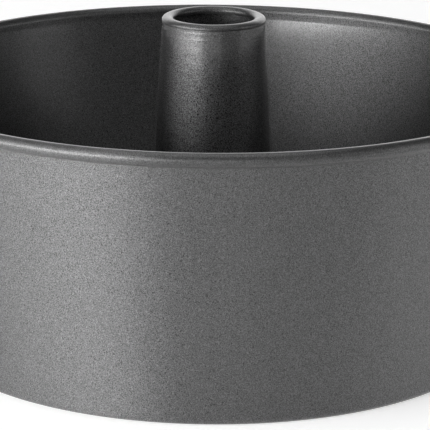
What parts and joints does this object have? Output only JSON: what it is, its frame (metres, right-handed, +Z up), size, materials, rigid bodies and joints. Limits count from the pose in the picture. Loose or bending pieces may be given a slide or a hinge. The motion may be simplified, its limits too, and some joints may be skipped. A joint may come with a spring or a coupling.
{
  "type": "angel food cake pan",
  "caption": "Round, deep cake pan with leaning walls and a wire-rolled rim; its loose base carries a tapered chimney tube that stands above the rim.",
  "frame": {"origin": "on the pan's axis, at the surface that its foot stands on", "axes": "+Z up along the pan's axis; the pan is round, so +X and +Y are two free directions across it"},
  "size_m": [0.265, 0.265, 0.1295],
  "materials": {
    "coated_steel": "satin metallic grey release coat with a fine fleck",
    "bright_wire": "drawn steel wire, as drawn"
  },
  "bodies": {
    "ring": {"outer_ring": "coated_steel", "rim_wire": "bright_wire"},
    "base": {"base_plate": "coated_steel", "centre_tube": "coated_steel"}
  },
  "joints": [
    {"name": "base_lift", "type": "slide", "parent": "ring", "child": "base", "axis": [0, 0, 1], "range_m": [0, 0.125]}
  ]
}
